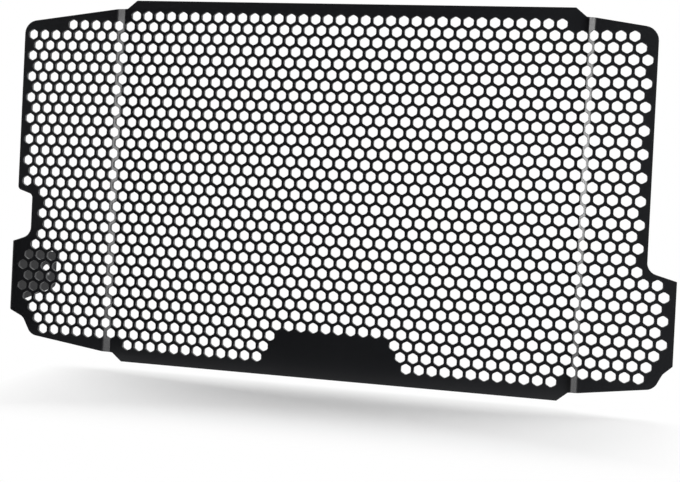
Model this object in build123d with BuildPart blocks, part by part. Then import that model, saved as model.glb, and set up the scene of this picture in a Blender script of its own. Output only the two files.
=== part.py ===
import os
from math import cos, radians, sin, sqrt, tan

from build123d import *

# Motorcycle radiator guard: one aluminium sheet, punched with a honeycomb and then folded.
# Millimetres, X to the right as seen from the front, Y to the back, Z up.
# The origin is the middle of the bolt hole in the side flange.
# Widths below run from the centreline of the sheet, heights from its bottom edge.

# Sheet and joggles: each wing stands a step in front of the centre, past a sloping band
sheet = 2.0
joggle_step = 3.85
joggle_angle = 46.0
joggle_radius = 1.0
joggle_width = 138.4

# Honeycomb: pointed cells in staggered rows, each one standing for a block of the real cells
real_cell_pitch = 7.5
real_cell_across = 5.7
cells_merged = 2
first_row_height = 14.1

# Blank field at the bottom edge, where no cell is punched
blank_height = 27.0
blank_half_width_top = 33.5
blank_half_width_bottom = 43.0

# Centre of the sheet, with its four cut corners
centre_height = 221.0
centre_half_width = 131.0
corner_run = 6.0
corner_rise = 5.0

# Wings
wing_corner_radius = 8.0
right_wing_width = 176.2
right_wing_top = 209.8
left_wing_width = 202.7
left_wing_top = 206.2

# Notch in the left wing, between its upper part and its ear
notch_width = 193.0
notch_top = 99.4
notch_lip = 102.5
notch_radius = 2.5

# Ears: a sloping top edge, a straight outer edge and an edge that steps in twice to the bottom
ear_root_radius = 6.5
ear_step_radius = 5.0
right_ear_width = 192.3
right_ear_root = 75.9
right_ear_top = 71.4
right_ear_bottom = 25.0
right_ear_step = (187.1, 20.2)
right_ear_foot = (182.9, 11.7)
left_ear_root = 74.3
left_ear_top = 69.5
left_ear_bottom = 27.9
left_ear_step = (195.7, 23.1)
left_ear_foot = (190.1, 12.6)

# Flange folded back and inwards from the left ear's straight edge, with its bolt hole
flange_angle = 70.0
flange_bend_radius = 1.0
flange_length = 34.0
flange_shoulder = 3.5
flange_knee_radius = 1.5
flange_end_width = 22.5
flange_corner_radius = 3.0
bolt_height = 50.0
bolt_inset = 8.0
bolt_hole = 7.5

# Worked out from the sizes above
wing_front = -joggle_step
joggle_run = joggle_step / tan(radians(joggle_angle))
joggle_slack = joggle_step / sin(radians(joggle_angle)) - joggle_run
cell_pitch = real_cell_pitch * cells_merged
cell_across = real_cell_across * cells_merged
cell_web = cell_pitch - cell_across
cell_corner = cell_across / sqrt(3)
row_step = cell_pitch * sqrt(3) / 2
bend_outside = flange_bend_radius + sheet
left_ear_width = left_wing_width + bend_outside
shoulder_half_width = centre_half_width + corner_run
shoulder_top = centre_height - corner_rise

# The flange's directions in plan: along it from the fold to its end, and out of its outer face
along = Vector(cos(radians(flange_angle)), sin(radians(flange_angle)), 0)
outward = Vector(-sin(radians(flange_angle)), cos(radians(flange_angle)), 0)
bend_centre = Vector(-left_wing_width, wing_front + bend_outside, 0)
flange_start = bend_centre + outward * bend_outside
bolt_reach = flange_length - bolt_inset
bolt_place = flange_start + along * bolt_reach - outward * (sheet / 2) + Vector(0, 0, bolt_height)

# Planes: plan looks down on the bottom edge, front looks at the face, flank lies along the flange
sheet_origin = -bolt_place
plan = Plane(origin=sheet_origin)
front = Plane(origin=sheet_origin, x_dir=(1, 0, 0), z_dir=(0, -1, 0))
flank = Plane(origin=sheet_origin + flange_start, x_dir=along, z_dir=-outward)
through = 2 * (joggle_step + sheet)

# Corners of the sheet seen from the front, each with its radius, clockwise from the top left
outline = [
    (-centre_half_width, centre_height, 0),
    (centre_half_width, centre_height, 0),
    (shoulder_half_width, shoulder_top, 0),
    (right_wing_width, right_wing_top, wing_corner_radius),
    (right_wing_width, right_ear_root, ear_root_radius),
    (right_ear_width, right_ear_top, 0),
    (right_ear_width, right_ear_bottom, 0),
    (*right_ear_step, ear_step_radius),
    (*right_ear_foot, ear_root_radius),
    (shoulder_half_width, corner_rise, 0),
    (centre_half_width, 0, 0),
    (-centre_half_width, 0, 0),
    (-shoulder_half_width, corner_rise, 0),
    (-left_ear_foot[0], left_ear_foot[1], ear_root_radius),
    (-left_ear_step[0], left_ear_step[1], ear_step_radius),
    (-left_ear_width, left_ear_bottom, 0),
    (-left_ear_width, left_ear_top, 0),
    (-notch_width, left_ear_root, ear_root_radius),
    (-notch_width, notch_top, notch_radius),
    (-left_wing_width, notch_lip, notch_radius),
    (-left_wing_width, left_wing_top, wing_corner_radius),
    (-shoulder_half_width, shoulder_top, 0),
]

with BuildSketch(front) as face:
    with BuildLine():
        FilletPolyline(
            *[(width, height) for width, height, _ in outline],
            radius=[corner for _, _, corner in outline],
            close=True,
        )
    make_face()

# Cells keep one web clear of the sheet's edge
with BuildSketch(front) as field:
    add(face.sketch_local)
    offset(amount=-cell_web, kind=Kind.INTERSECTION)


def folded(distance):
    """Width on the folded sheet of a point this far along the flat one."""
    side = 1 if distance > 0 else -1
    past_band = abs(distance) - joggle_width
    band = joggle_run + joggle_slack
    return distance - side * joggle_slack * min(max(past_band / band, 0), 1)


def is_blank(width, height):
    """Whether a cell's middle lies in the blank field."""
    rise = height / blank_height
    half_width = blank_half_width_bottom + (blank_half_width_top - blank_half_width_bottom) * rise
    return height < blank_height and abs(width) < half_width


def cell_corners(width, height):
    """Six corners of the pointed cell in this place."""
    turns = [radians(60 * corner + 30) for corner in range(6)]
    return [(width + cell_corner * cos(turn), height + cell_corner * sin(turn), 0) for turn in turns]


def clears_edge(width, height):
    """Whether all six corners of a cell lie in the field."""
    flat = field.sketch_local.faces()[0]
    return all(flat.is_inside(corner) for corner in cell_corners(width, height))


def cell_places():
    """Middles of the punched cells, row by row from the bottom."""
    places = []
    rows = int((centre_height - first_row_height) / row_step) + 1
    columns = int(left_ear_width / cell_pitch) + 1
    for row in range(rows):
        height = first_row_height + row * row_step
        stagger = cell_pitch / 2 * (row % 2)
        for column in range(-columns, columns + 1):
            width = folded(column * cell_pitch + stagger)
            if clears_edge(width, height) and not is_blank(width, height):
                places.append((width, height))
    return places


# The punched sheet seen from the front: its outline with every cell as a window in one face
cells = [Wire.make_polygon(cell_corners(*place)) for place in cell_places()]
with BuildSketch(front.offset(-through)) as punched:
    add(Face(face.sketch_local.faces()[0].outer_wire(), cells))

# Panel: the joggled section pulled up to full height and trimmed to the punched sheet
with BuildPart() as panel:
    with BuildSketch(plan):
        with BuildLine():
            FilletPolyline(
                (-left_wing_width, wing_front),
                (-joggle_width - joggle_run, wing_front),
                (-joggle_width, 0),
                (joggle_width, 0),
                (joggle_width + joggle_run, wing_front),
                (right_ear_width, wing_front),
                radius=[joggle_radius + sheet, joggle_radius, joggle_radius, joggle_radius + sheet],
            )
            offset(amount=sheet, side=Side.LEFT)
        make_face()
    extrude(amount=centre_height)
    extrude(punched.sketch, amount=2 * through, clean=False, mode=Mode.INTERSECT)

# Flange: bent strip, trimmed to the ear's ends at the fold and to its own taper behind it
with BuildPart() as flange:
    with BuildSketch(plan):
        with BuildLine():
            bend = JernArc(
                (-left_wing_width, wing_front), (-1, 0), bend_outside, flange_angle - 180
            )
            PolarLine(bend @ 1, flange_length, direction=bend % 1)
            offset(amount=sheet, side=Side.RIGHT)
        make_face()
    extrude(amount=centre_height)
    extrude(face.sketch, amount=through + flange_length, both=True, mode=Mode.INTERSECT)
    with BuildSketch(flank):
        with BuildLine():
            FilletPolyline(
                (-through, left_ear_top + flange_shoulder),
                (sheet, left_ear_top + flange_shoulder),
                (sheet, left_ear_top - flange_shoulder),
                (flange_length, bolt_height + flange_end_width / 2),
                (flange_length, bolt_height - flange_end_width / 2),
                (sheet, left_ear_bottom + flange_shoulder),
                (sheet, left_ear_bottom - flange_shoulder),
                (-through, left_ear_bottom - flange_shoulder),
                radius=[
                    0,
                    0,
                    flange_knee_radius,
                    flange_corner_radius,
                    flange_corner_radius,
                    flange_knee_radius,
                    0,
                    0,
                ],
                close=True,
            )
        make_face()
        with Locations((bolt_reach, bolt_height)):
            Circle(bolt_hole / 2, mode=Mode.SUBTRACT)
    extrude(amount=through, both=True, mode=Mode.INTERSECT)

with BuildPart() as radiator_guard:
    add(panel.part)
    add(flange.part, clean=False)

radiator_guard.part.label = "radiator_guard"
os.makedirs("parts", exist_ok=True)
export_step(radiator_guard.part, "parts/radiator_guard.step")
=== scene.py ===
from math import cos, hypot, inf, pi, radians, sin, sqrt, tan
from typing import NamedTuple

import bmesh
import bpy
from mathutils import Matrix, Vector


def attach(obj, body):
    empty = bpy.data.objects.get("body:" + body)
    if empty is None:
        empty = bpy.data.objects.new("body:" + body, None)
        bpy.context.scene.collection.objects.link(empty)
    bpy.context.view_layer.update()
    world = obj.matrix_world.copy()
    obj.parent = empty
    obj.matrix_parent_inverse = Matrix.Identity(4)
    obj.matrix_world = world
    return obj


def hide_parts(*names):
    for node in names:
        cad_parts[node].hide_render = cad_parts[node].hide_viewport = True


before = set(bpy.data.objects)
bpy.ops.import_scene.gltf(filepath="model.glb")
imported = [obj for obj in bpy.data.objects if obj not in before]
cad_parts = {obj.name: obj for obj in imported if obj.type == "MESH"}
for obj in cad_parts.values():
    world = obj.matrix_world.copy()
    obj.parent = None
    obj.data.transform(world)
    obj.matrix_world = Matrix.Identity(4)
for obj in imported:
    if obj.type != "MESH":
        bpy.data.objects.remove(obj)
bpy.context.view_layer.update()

# Motorcycle radiator guard: one sheet, cut out and punched flat, then folded and coated
# The sheet's sizes are millimetres: widths from the centreline, heights from the bottom edge
MM = 0.001
SHEET = 2.0
CORNER_STEPS = 6
EDGE_ROUND = 0.15
EDGE_STEPS = 1

# Joggle bands, where the sheet steps forward to each wing
JOGGLE_STEP = 3.85
JOGGLE_ANGLE = radians(46)
JOGGLE_RADIUS = 1.0
JOGGLE_WIDTH = 138.4
JOGGLE_RUN = JOGGLE_STEP / tan(JOGGLE_ANGLE)
JOGGLE_SLACK = JOGGLE_STEP / sin(JOGGLE_ANGLE) - JOGGLE_RUN
JOGGLE_CUTS = 4

# Honeycomb: pointed cells, laid out on the flat sheet from one row at mid height
PITCH = 7.5
CELL_ACROSS = 5.7
CELL_CORNER_CUT = 0.5
ROW_STEP = PITCH * sqrt(3) / 2
MIDDLE_ROW = 114.2
ROWS = range(-16, 18)
COLUMNS = range(-28, 28)
CELL_CLEAR = 5.0

# Where no cell is punched: four places by the edge, as column and row, and a blank field at the bottom
UNPUNCHED = [(-26.5, 13), (17.5, -15), (-18, 16), (18, 16)]
BLANK_HEIGHT = 27.0
BLANK_HALF_WIDTHS = (43.0, 33.5)

# Outline of the centre and the two wings
CENTRE_HEIGHT = 221.0
CENTRE_HALF_WIDTH = 131.0
SHOULDER_HALF_WIDTH = 137.0
SHOULDER_RISE = 5.0
RIGHT_WING = (176.2, 209.8)
LEFT_WING = (202.7, 206.2)
WING_ROUND = 8.0
NOTCH_WIDTH = 193.0
NOTCH_HEIGHTS = (99.4, 102.5)
NOTCH_ROUND = 2.5

# The ears below the wings
EAR_ROOT_ROUND = 6.5
EAR_STEP_ROUND = 5.0
RIGHT_EAR_WIDTH = 192.3
RIGHT_EAR_HEIGHTS = (25.0, 71.4)
RIGHT_EAR_ROOT = 75.9
RIGHT_EAR_STEP = (187.1, 20.2)
RIGHT_EAR_FOOT = (182.9, 11.7)
LEFT_EAR_HEIGHTS = (27.9, 69.5)
LEFT_EAR_ROOT = 74.3
LEFT_EAR_STEP = (195.7, 23.1)
LEFT_EAR_FOOT = (190.1, 12.6)

# Flange folded back from the left ear, with its bolt hole
FLANGE_ANGLE = radians(70)
FLANGE_TURN = pi - FLANGE_ANGLE
FLANGE_LENGTH = 34.0
FLANGE_SHOULDER = 3.5
FLANGE_KNEE_ROUND = 1.5
FLANGE_END_WIDTH = 22.5
FLANGE_CORNER_ROUND = 3.0
FOLD_RADIUS = 1.0
FOLD_OUTSIDE = FOLD_RADIUS + SHEET
FOLD_LENGTH = FLANGE_TURN * (FOLD_RADIUS + SHEET / 2)
FOLD_CUTS = 8
BOLT_HEIGHT = 50.0
BOLT_INSET = 8.0
BOLT_HOLE = 7.5
BOLT_HOLE_STEPS = 40

# The part's origin is the middle of the bolt hole
BOLT_REACH = FLANGE_LENGTH - BOLT_INSET
BOLT_BEHIND_FOLD = FOLD_OUTSIDE - SHEET / 2
ORIGIN = Vector((
    -LEFT_WING[0] - sin(FLANGE_ANGLE) * BOLT_BEHIND_FOLD + cos(FLANGE_ANGLE) * BOLT_REACH,
    FOLD_OUTSIDE - JOGGLE_STEP + cos(FLANGE_ANGLE) * BOLT_BEHIND_FOLD + sin(FLANGE_ANGLE) * BOLT_REACH,
    BOLT_HEIGHT,
))

# Turns a circle that lies level into the upright sheet
UPRIGHT = Matrix.Rotation(pi / 2, 4, "X")

# Limits for cutting and shading: tilts are how far a face of the flat sheet looks to the front or back
RIM_ANGLE = radians(80)
CREASE_ANGLE = radians(35)
FLAT_TILT = 0.97
WALL_TILT = 0.1
CUT_SNAP = 0.001
SLIVER = 0.005

# Powder coat: lumps in a metre and layers of detail of each pattern, then what the patterns do
PEEL = (850.0, 2.0)
GRAIN = (3600.0, 1.0)
CLOUD = (16.0, 3.0)
NOISE_ROUGHNESS = 0.5
COAT_DARK = (0.0028, 0.0031, 0.0042, 1)
COAT_LIGHT = (0.0062, 0.0067, 0.0084, 1)
CLOUD_TONE = 0.6
COAT_ROUGHNESS = 0.35
CLOUD_ROUGHNESS = 0.06
GRAIN_ROUGHNESS = 0.05
PEEL_SHARE = 0.7
PEEL_STRENGTH = 0.25
PEEL_DEPTH = 0.00012
COAT_IOR = 1.5
COAT_SPECULAR = 0.4

# White floor, from here on in metres in the part's frame, and the fades of its painted glow, which lightens
# it to pure white around the shadow
# The fade at the ends goes by the distance from the middle, squared
WHITE = (1, 1, 1, 1)
PAPER = (0.9, 0.9, 0.9, 1)
FLOOR_HEIGHT = -0.054
FLOOR_REACH = 30
FADE_BEHIND = (-0.07, -0.015)
FADE_AHEAD = (0.075, 0.17)
FADE_ENDS = (0.0, 0.038)
SHADOW_MIDDLE = 0.215

# Black cloth on the floor, which rises behind the camera and is seen only as a painted dark reflection in
# the coat, and a black card beside the fold
CLOTH_BLACK = (0.03, 0.03, 0.03, 1)
CLOTH_MIDDLE = 0.19
CLOTH_NEAR = 0.05
CLOTH_DEPTH = 1.2
CLOTH_WIDTH = 6.0
CLOTH_RISE = 3.5
CLOTH_LIFT = 0.002
CARD_PLACE = (-0.05, -0.026, 0.0)
CARD_WIDTH = 0.016
CARD_HEIGHT = 0.060

# Suns with their place, strength and spread, and strips with their place, watts, width and height
LAMP_AIM = (0.19, -0.02, 0.06)
SUNS = [
    ("back_left", (-1.71, 0.9, 1.2), 1.35, radians(30)),
    ("back", (0.19, 0.9, 1.2), 0.9, radians(30)),
    ("back_right", (2.09, 0.9, 1.2), 1.35, radians(30)),
    ("top", (0.19, -0.02, 1.2), 0.25, radians(60)),
]
STRIPS = [
    ("left_strip", (-2.40, -0.16, 0.15), 75.0, 0.40, 0.40),
    ("right_strip", (1.10, -0.43, 0.09), 12.0, 0.25, 0.30),
]
SURROUND_LIGHT = 0.15

# Camera, where the photograph was taken from
SENSOR_WIDTH = 36.0
LENS_LENGTH = 57.01
LENS_SHIFT = -0.0822
CAMERA_PLACE = (0.32810, -0.64141, 0.07277)
CAMERA_TURN = (radians(89.282), radians(-2.788), radians(12.068))


def flat(width):
    """Distance along the flat sheet of a point this far out on the folded one."""
    side = 1 if width > 0 else -1
    past_band = (abs(width) - JOGGLE_WIDTH) / JOGGLE_RUN
    return width + side * JOGGLE_SLACK * min(max(past_band, 0), 1)


# The fold of the flange on the flat sheet
FOLD_START = flat(-LEFT_WING[0])
FOLD_END = FOLD_START - FOLD_LENGTH


class Bend(NamedTuple):
    """One bend line, counted outwards along the flat sheet: a turn above 0 goes backwards."""

    start: float
    length: float
    turn: float
    radius: float
    cuts: int
    pressed: bool


def bends():
    """The bends met on the way out from the centreline, on the left and on the right."""
    inner = JOGGLE_RADIUS * tan(JOGGLE_ANGLE / 2)
    outer = (JOGGLE_RADIUS + SHEET) * tan(JOGGLE_ANGLE / 2)
    band_end = JOGGLE_WIDTH + JOGGLE_RUN + JOGGLE_SLACK
    joggle = [
        Bend(JOGGLE_WIDTH - inner, 2 * inner, -JOGGLE_ANGLE, JOGGLE_RADIUS, JOGGLE_CUTS, True),
        Bend(band_end - outer, 2 * outer, JOGGLE_ANGLE, JOGGLE_RADIUS + SHEET, JOGGLE_CUTS, True),
    ]
    fold = Bend(-FOLD_START, FOLD_LENGTH, FLANGE_TURN, FOLD_OUTSIDE, FOLD_CUTS, False)
    return {-1: joggle + [fold], 1: joggle}


BENDS = bends()


def folded(distance, depth):
    """Width and depth on the folded sheet of a point on the flat one.

    The joggles are pressed, so the walls of their cells stay square to the centre of the sheet.
    """
    side = 1 if distance > 0 else -1
    ahead = abs(distance)
    width, back, heading, lean, reached = 0.0, 0.0, 0.0, 0.0, 0.0
    for line in BENDS[side]:
        run = min(ahead, line.start) - reached
        width += run * cos(heading)
        back += run * sin(heading)
        reached += run
        if ahead <= line.start:
            break
        turn = line.turn * min((ahead - line.start) / line.length, 1)
        radius = line.radius if turn > 0 else -line.radius
        width += radius * (sin(heading + turn) - sin(heading))
        back += radius * (cos(heading) - cos(heading + turn))
        heading += turn
        lean += 0 if line.pressed else turn
        reached = min(ahead, line.start + line.length)
    run = ahead - reached
    width += run * cos(heading) - depth * sin(lean)
    back += run * sin(heading) + depth * cos(lean)
    return side * width, back


def outline_corners():
    """Corners of the flat sheet with their radii, clockwise from the top left."""
    fold_crown = FOLD_START - FOLD_LENGTH * pi / 2 / FLANGE_TURN
    shoulder = FOLD_END - SHEET
    flange_end = FOLD_END - FLANGE_LENGTH
    half_end = FLANGE_END_WIDTH / 2
    ear_bottom, ear_top = LEFT_EAR_HEIGHTS
    return [
        (-CENTRE_HALF_WIDTH, CENTRE_HEIGHT, 0),
        (CENTRE_HALF_WIDTH, CENTRE_HEIGHT, 0),
        (SHOULDER_HALF_WIDTH, CENTRE_HEIGHT - SHOULDER_RISE, 0),
        (flat(RIGHT_WING[0]), RIGHT_WING[1], WING_ROUND),
        (flat(RIGHT_WING[0]), RIGHT_EAR_ROOT, EAR_ROOT_ROUND),
        (flat(RIGHT_EAR_WIDTH), RIGHT_EAR_HEIGHTS[1], 0),
        (flat(RIGHT_EAR_WIDTH), RIGHT_EAR_HEIGHTS[0], 0),
        (flat(RIGHT_EAR_STEP[0]), RIGHT_EAR_STEP[1], EAR_STEP_ROUND),
        (flat(RIGHT_EAR_FOOT[0]), RIGHT_EAR_FOOT[1], EAR_ROOT_ROUND),
        (SHOULDER_HALF_WIDTH, SHOULDER_RISE, 0),
        (CENTRE_HALF_WIDTH, 0, 0),
        (-CENTRE_HALF_WIDTH, 0, 0),
        (-SHOULDER_HALF_WIDTH, SHOULDER_RISE, 0),
        (flat(-LEFT_EAR_FOOT[0]), LEFT_EAR_FOOT[1], EAR_ROOT_ROUND),
        (flat(-LEFT_EAR_STEP[0]), LEFT_EAR_STEP[1], EAR_STEP_ROUND),
        (fold_crown, ear_bottom, 0),
        (shoulder, ear_bottom, 0),
        (shoulder, ear_bottom + FLANGE_SHOULDER, FLANGE_KNEE_ROUND),
        (flange_end, BOLT_HEIGHT - half_end, FLANGE_CORNER_ROUND),
        (flange_end, BOLT_HEIGHT + half_end, FLANGE_CORNER_ROUND),
        (shoulder, ear_top - FLANGE_SHOULDER, FLANGE_KNEE_ROUND),
        (shoulder, ear_top, 0),
        (fold_crown, ear_top, 0),
        (flat(-NOTCH_WIDTH), LEFT_EAR_ROOT, EAR_ROOT_ROUND),
        (flat(-NOTCH_WIDTH), NOTCH_HEIGHTS[0], NOTCH_ROUND),
        (FOLD_START, NOTCH_HEIGHTS[1], NOTCH_ROUND),
        (FOLD_START, LEFT_WING[1], WING_ROUND),
        (-SHOULDER_HALF_WIDTH, CENTRE_HEIGHT - SHOULDER_RISE, 0),
    ]


def draw_outline(sheet):
    """Draws the cut edge of the flat sheet with its rounded corners, and gives its edges."""
    corners = outline_corners()
    places = [Vector((along, 0, height)) for along, height, _ in corners]
    points = [sheet.verts.new(place) for place in places]
    sheet.faces.new(points)
    for number, (_, _, radius) in enumerate(corners):
        if radius:
            before, here, after = places[number - 1], places[number], places[(number + 1) % len(places)]
            corner_angle = (before - here).angle(after - here)
            bmesh.ops.bevel(
                sheet, geom=[points[number]], offset=radius / tan(corner_angle / 2), offset_type="OFFSET",
                segments=CORNER_STEPS, profile=0.5, affect="VERTICES", material=-1,
            )
    sheet.faces.ensure_lookup_table()
    edges = list(sheet.faces[0].edges)
    bmesh.ops.delete(sheet, geom=[sheet.faces[0]], context="FACES_ONLY")
    return edges


def clearance(edges, along, height):
    """Distance from a point to the nearest cut edge, or 0 where the point is off the sheet."""
    inside = False
    nearest = inf
    for edge in edges:
        start, end = edge.verts[0].co, edge.verts[1].co
        run, rise = end.x - start.x, end.z - start.z
        share = ((along - start.x) * run + (height - start.z) * rise) / (run * run + rise * rise)
        share = min(max(share, 0), 1)
        nearest = min(nearest, hypot(along - start.x - share * run, height - start.z - share * rise))
        if (start.z > height) != (end.z > height):
            crossing = start.x + run * (height - start.z) / rise
            if along < crossing:
                inside = not inside
    return nearest if inside else 0


def cell_middle(column, row):
    """Place on the flat sheet of the cell in this column and row."""
    return column * PITCH, MIDDLE_ROW - row * ROW_STEP


def is_punched(edges, column, row):
    """Whether the sheet has a cell in this place: the flange and the blank field have none."""
    along, height = cell_middle(column, row)
    if (column, row) in UNPUNCHED or clearance(edges, along, height) < CELL_CLEAR:
        return False
    if along < FOLD_START + CELL_CLEAR:
        return False
    bottom, top = BLANK_HALF_WIDTHS
    return height > BLANK_HEIGHT or abs(along) > bottom + (top - bottom) * height / BLANK_HEIGHT


def lay_cells(sheet, edges):
    """Lays out every cell of the honeycomb with its corners eased, and gives the cells' edges."""
    corners = []
    for row in ROWS:
        for step in COLUMNS:
            column = step + 0.5 * (row % 2)
            if is_punched(edges, column, row):
                along, height = cell_middle(column, row)
                cell = bmesh.ops.create_circle(
                    sheet, cap_ends=True, segments=6, radius=CELL_ACROSS / sqrt(3),
                    matrix=Matrix.Translation((along, 0, height)) @ UPRIGHT,
                )
                corners += cell["verts"]
    bmesh.ops.bevel(
        sheet, geom=corners, offset=CELL_CORNER_CUT, offset_type="OFFSET", segments=1,
        profile=0.5, affect="VERTICES", material=-1,
    )
    rims = [edge for edge in sheet.edges if edge.link_faces]
    bmesh.ops.delete(sheet, geom=sheet.faces[:], context="FACES_ONLY")
    return rims


def is_rim(edge):
    """Whether an edge runs around the front or the back of a cut."""
    level = abs(edge.verts[0].co.y - edge.verts[1].co.y) < SHEET / 2
    return level and edge.calc_face_angle(0) > RIM_ANGLE


def punch_sheet():
    """The flat sheet, cut out and punched, with its thickness and its rounded edges."""
    sheet = bmesh.new()
    cut = draw_outline(sheet)
    rims = lay_cells(sheet, cut)
    hole = bmesh.ops.create_circle(
        sheet, segments=BOLT_HOLE_STEPS, radius=BOLT_HOLE / 2,
        matrix=Matrix.Translation((FOLD_END - BOLT_REACH, 0, BOLT_HEIGHT)) @ UPRIGHT,
    )
    around = [edge for edge in sheet.edges if edge.verts[0] in hole["verts"]]
    bmesh.ops.triangle_fill(sheet, edges=cut + rims + around, use_beauty=True, normal=(0, -1, 0))
    bmesh.ops.recalc_face_normals(sheet, faces=sheet.faces)
    bmesh.ops.solidify(sheet, geom=sheet.faces[:], thickness=SHEET)
    bmesh.ops.recalc_face_normals(sheet, faces=sheet.faces)
    front = min(vert.co.y for vert in sheet.verts)
    bmesh.ops.translate(sheet, verts=sheet.verts, vec=(0, -front, 0))
    bmesh.ops.bevel(
        sheet, geom=[edge for edge in sheet.edges if is_rim(edge)], offset=EDGE_ROUND, offset_type="OFFSET",
        segments=EDGE_STEPS, profile=0.5, affect="EDGES", clamp_overlap=False, material=-1,
    )
    return sheet


def face_kind(face):
    """What a face of the flat sheet belongs to."""
    tilt = abs(face.normal.y)
    return "flat" if tilt > FLAT_TILT else "wall" if tilt < WALL_TILT else "round"


def crease(sheet):
    """Marks where flats, rounded edges and walls meet, so each is shaded by itself."""
    sheet.normal_update()
    for face in sheet.faces:
        face.smooth = True
    for edge in sheet.edges:
        kinds = {face_kind(face) for face in edge.link_faces}
        edge.smooth = len(kinds) == 1 and edge.calc_face_angle(pi) < CREASE_ANGLE


def fold_sheet(sheet):
    """Cuts the flat sheet along its bend lines and folds it into the part's place."""
    for side, lines in BENDS.items():
        for line in lines:
            for cut in range(line.cuts + 1):
                along = side * (line.start + line.length * cut / line.cuts)
                bmesh.ops.bisect_plane(
                    sheet, geom=sheet.verts[:] + sheet.edges[:] + sheet.faces[:], dist=CUT_SNAP,
                    plane_co=(along, 0, 0), plane_no=(1, 0, 0),
                )
    bmesh.ops.dissolve_degenerate(sheet, dist=SLIVER, edges=sheet.edges)
    crease(sheet)
    for vert in sheet.verts:
        width, back = folded(vert.co.x, vert.co.y)
        vert.co = (Vector((width, back, vert.co.z)) - ORIGIN) * MM
    sheet.normal_update()


class Value:
    """A socket of a finish: sums on it add Math nodes."""

    def __init__(self, finish, socket):
        self.finish = finish
        self.socket = socket

    def maths(self, operation, first, second):
        """Adds one Math node."""
        return self.finish.node("ShaderNodeMath", {"operation": operation}, {0: first, 1: second})

    def __add__(self, other):
        return self.maths("ADD", self, other)

    def __radd__(self, other):
        return self.maths("ADD", other, self)

    def __sub__(self, other):
        return self.maths("SUBTRACT", self, other)

    def __rsub__(self, other):
        return self.maths("SUBTRACT", other, self)

    def __mul__(self, other):
        return self.maths("MULTIPLY", self, other)

    def __rmul__(self, other):
        return self.maths("MULTIPLY", other, self)

    def __or__(self, other):
        return self.maths("MAXIMUM", self, other)

    def __ror__(self, other):
        return self.maths("MAXIMUM", other, self)

    def beside(self, name):
        """Another output of the same node."""
        return Value(self.finish, self.socket.node.outputs[name])


class Finish:
    """The nodes of a material or of the world."""

    def __init__(self, owner):
        owner.use_nodes = True
        self.tree = owner.node_tree
        self.tree.nodes.clear()

    def node(self, kind, settings=None, sockets=None, out=0):
        """Adds a node, sets it, feeds its sockets and gives one of its outputs."""
        made = self.tree.nodes.new(kind)
        for name, setting in (settings or {}).items():
            setattr(made, name, setting)
        for name, value in (sockets or {}).items():
            if isinstance(value, Value):
                self.tree.links.new(value.socket, made.inputs[name])
            else:
                made.inputs[name].default_value = value
        return Value(self, made.outputs[out]) if made.outputs else None

    def noise(self, place, scale, detail):
        """Soft noise with this many lumps in a metre."""
        sockets = {"Vector": place, "Scale": scale, "Detail": detail, "Roughness": NOISE_ROUGHNESS}
        return self.node("ShaderNodeTexNoise", {}, sockets, "Fac")

    def fade(self, value, limits, shape):
        """Goes from 0 to 1 while the value goes from the first limit to the second."""
        start, end = limits
        sockets = {"Value": value, "From Min": start, "From Max": end, "To Min": 0, "To Max": 1}
        return self.node("ShaderNodeMapRange", {"interpolation_type": shape}, sockets)


def powder_coat():
    """Satin black powder: fine orange peel, a little grain, and slow changes of sheen."""
    material = bpy.data.materials.new("powder_coat")
    coat = Finish(material)
    place = coat.node("ShaderNodeTexCoord", out="Object")
    peel = coat.noise(place, *PEEL)
    grain = coat.noise(place, *GRAIN)
    cloud = coat.noise(place, *CLOUD)
    tone = cloud * CLOUD_TONE + grain * (1 - CLOUD_TONE)
    # Sockets 6 and 7 and output 2 of the node are its colours
    colour = coat.node("ShaderNodeMix", {"data_type": "RGBA"}, {0: tone, 6: COAT_DARK, 7: COAT_LIGHT}, 2)
    roughness = COAT_ROUGHNESS + CLOUD_ROUGHNESS * cloud + GRAIN_ROUGHNESS * grain
    height = peel * PEEL_SHARE + grain * (1 - PEEL_SHARE)
    relief = coat.node("ShaderNodeBump", {}, {
        "Strength": PEEL_STRENGTH, "Distance": PEEL_DEPTH, "Height": height,
    })
    surface = coat.node("ShaderNodeBsdfPrincipled", {}, {
        "Base Color": colour, "Roughness": roughness, "Normal": relief,
        "IOR": COAT_IOR, "Specular IOR Level": COAT_SPECULAR,
    })
    coat.node("ShaderNodeOutputMaterial", {}, {"Surface": surface})
    return material


def seen_rays(finish):
    """1 for what is seen, straight or in a reflection, and 0 for what only lights."""
    camera = finish.node("ShaderNodeLightPath", out="Is Camera Ray")
    return camera | camera.beside("Is Glossy Ray") | camera.beside("Is Transmission Ray")


def white_floor():
    """White paper that keeps the shadow under the guard, with a painted glow that fades the shadow out and
    makes the paper pure white away from it.
    """
    material = bpy.data.materials.new("paper_with_painted_glow")
    paper = Finish(material)
    place = paper.node("ShaderNodeTexCoord", out="Object")
    across = paper.node("ShaderNodeSeparateXYZ", {}, {"Vector": place}, "X")
    depth = across.beside("Y")
    aside = across - SHADOW_MIDDLE
    behind = paper.fade(depth, FADE_BEHIND, "SMOOTHSTEP")
    ahead = paper.fade(0 - depth, FADE_AHEAD, "SMOOTHSTEP")
    ends = paper.fade(aside * aside, FADE_ENDS, "LINEAR")
    # Painted glow: white emission, seen straight and in reflections, that lightens the floor and fades its
    # shadow behind, ahead and at the ends
    painted_glow = seen_rays(paper) * (behind | ahead | ends)
    matt = paper.node("ShaderNodeBsdfDiffuse", {}, {"Color": PAPER})
    white = paper.node("ShaderNodeEmission", {}, {"Color": WHITE, "Strength": 1})
    mixed = paper.node("ShaderNodeMixShader", {}, {0: painted_glow, 1: matt, 2: white})
    paper.node("ShaderNodeOutputMaterial", {}, {"Surface": mixed})
    return material


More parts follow.
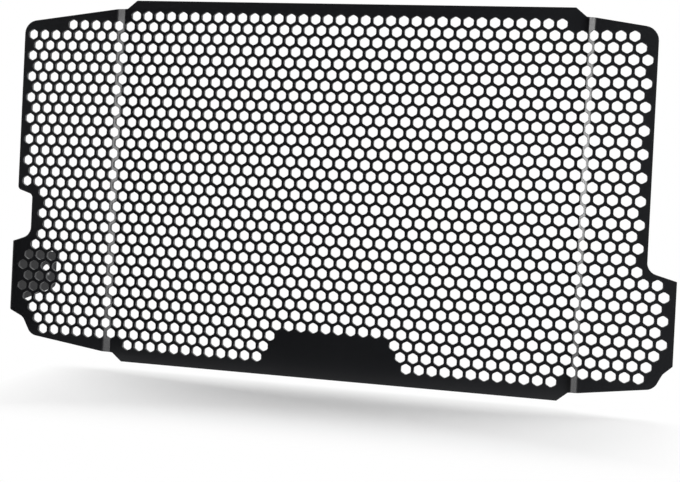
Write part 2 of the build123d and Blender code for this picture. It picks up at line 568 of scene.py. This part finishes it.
def dark_cloth():
    """Black matt for the cloth, a painted dark reflection seen only in the coat, and for the card that
    keeps the light off the sheet.
    """
    material = bpy.data.materials.new("dark_cloth")
    cloth = Finish(material)
    matt = cloth.node("ShaderNodeBsdfDiffuse", {}, {"Color": CLOTH_BLACK})
    cloth.node("ShaderNodeOutputMaterial", {}, {"Surface": matt})
    return material


def show(name, shape, material):
    """Makes an object of a finished bmesh."""
    mesh = bpy.data.meshes.new(name)
    shape.to_mesh(mesh)
    shape.free()
    mesh.materials.append(material)
    thing = bpy.data.objects.new(name, mesh)
    bpy.context.scene.collection.objects.link(thing)
    return thing


def make_guard():
    """The punched and folded sheet."""
    sheet = punch_sheet()
    fold_sheet(sheet)
    guard = show("punched_sheet", sheet, powder_coat())
    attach(guard, "root")
    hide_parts("radiator_guard")


def make_floor():
    """White floor under the guard."""
    floor = bmesh.new()
    bmesh.ops.create_grid(floor, x_segments=1, y_segments=1, size=FLOOR_REACH)
    bmesh.ops.translate(floor, verts=floor.verts, vec=(0, 0, FLOOR_HEIGHT))
    show("floor", floor, white_floor())


def hang_cloth(black):
    """Black cloth in front of the guard, which only the coat reflects, so the front stays dark."""
    cloth = bmesh.new()
    bmesh.ops.create_grid(cloth, x_segments=1, y_segments=1, size=CLOTH_DEPTH / 2)
    bmesh.ops.scale(cloth, verts=cloth.verts, vec=(CLOTH_WIDTH / CLOTH_DEPTH, 1, 1))
    middle = (CLOTH_MIDDLE, -CLOTH_NEAR - CLOTH_DEPTH / 2, FLOOR_HEIGHT + CLOTH_LIFT)
    bmesh.ops.translate(cloth, verts=cloth.verts, vec=middle)
    far = [edge for edge in cloth.edges if all(vert.co.y < middle[1] for vert in edge.verts)]
    risen = bmesh.ops.extrude_edge_only(cloth, edges=far)
    top = [vert for vert in risen["geom"] if isinstance(vert, bmesh.types.BMVert)]
    bmesh.ops.translate(cloth, verts=top, vec=(0, 0, CLOTH_RISE))
    reflected_cloth = show("black_cloth", cloth, black)
    # The cloth is a painted dark reflection: seen by no camera ray, casting no shadow and lighting nothing,
    # it only darkens the coat's reflections
    reflected_cloth.visible_camera = False
    reflected_cloth.visible_shadow = False
    reflected_cloth.visible_diffuse = False


def stand_card(black):
    """Small black card that keeps the left strip off the fold of the flange."""
    card = bmesh.new()
    bmesh.ops.create_grid(card, x_segments=1, y_segments=1, size=CARD_WIDTH / 2)
    bmesh.ops.scale(card, verts=card.verts, vec=(CARD_HEIGHT / CARD_WIDTH, 1, 1))
    bmesh.ops.rotate(card, verts=card.verts, matrix=Matrix.Rotation(pi / 2, 3, "Y"))
    bmesh.ops.translate(card, verts=card.verts, vec=CARD_PLACE)
    shade = show("black_card", card, black)
    shade.visible_camera = False
    shade.visible_diffuse = False


def lamp(name, kind, place, energy, **settings):
    """A lamp in this place, turned towards the guard."""
    light = bpy.data.lights.new(name, kind)
    light.energy = energy
    for setting, value in settings.items():
        setattr(light, setting, value)
    thing = bpy.data.objects.new(name, light)
    thing.location = place
    thing.rotation_euler = (Vector(LAMP_AIM) - Vector(place)).to_track_quat("-Z", "Y").to_euler()
    bpy.context.scene.collection.objects.link(thing)


def light_scene():
    """Soft light from above and behind, a strip at each side, and a surround that is seen as white."""
    for name, place, energy, spread in SUNS:
        lamp(name, "SUN", place, energy, angle=spread)
    for name, place, energy, width, height in STRIPS:
        lamp(name, "AREA", place, energy, shape="RECTANGLE", size=width, size_y=height)
    world = bpy.data.worlds.new("surround")
    bpy.context.scene.world = world
    surround = Finish(world)
    dim = surround.node("ShaderNodeBackground", {}, {"Color": WHITE, "Strength": SURROUND_LIGHT})
    white = surround.node("ShaderNodeBackground", {}, {"Color": WHITE, "Strength": 1})
    mixed = surround.node("ShaderNodeMixShader", {}, {0: seen_rays(surround), 1: dim, 2: white})
    surround.node("ShaderNodeOutputWorld", {}, {"Surface": mixed})


def place_camera():
    """Camera where the photograph was taken from."""
    lens = bpy.data.cameras.new("camera")
    lens.sensor_width = SENSOR_WIDTH
    lens.lens = LENS_LENGTH
    lens.shift_y = LENS_SHIFT
    camera = bpy.data.objects.new("camera", lens)
    camera.location = CAMERA_PLACE
    camera.rotation_euler = CAMERA_TURN
    bpy.context.scene.collection.objects.link(camera)
    bpy.context.scene.camera = camera


bpy.context.scene.view_settings.view_transform = "Standard"
make_guard()
make_floor()
black_matt = dark_cloth()
hang_cloth(black_matt)
stand_card(black_matt)
light_scene()
place_camera()
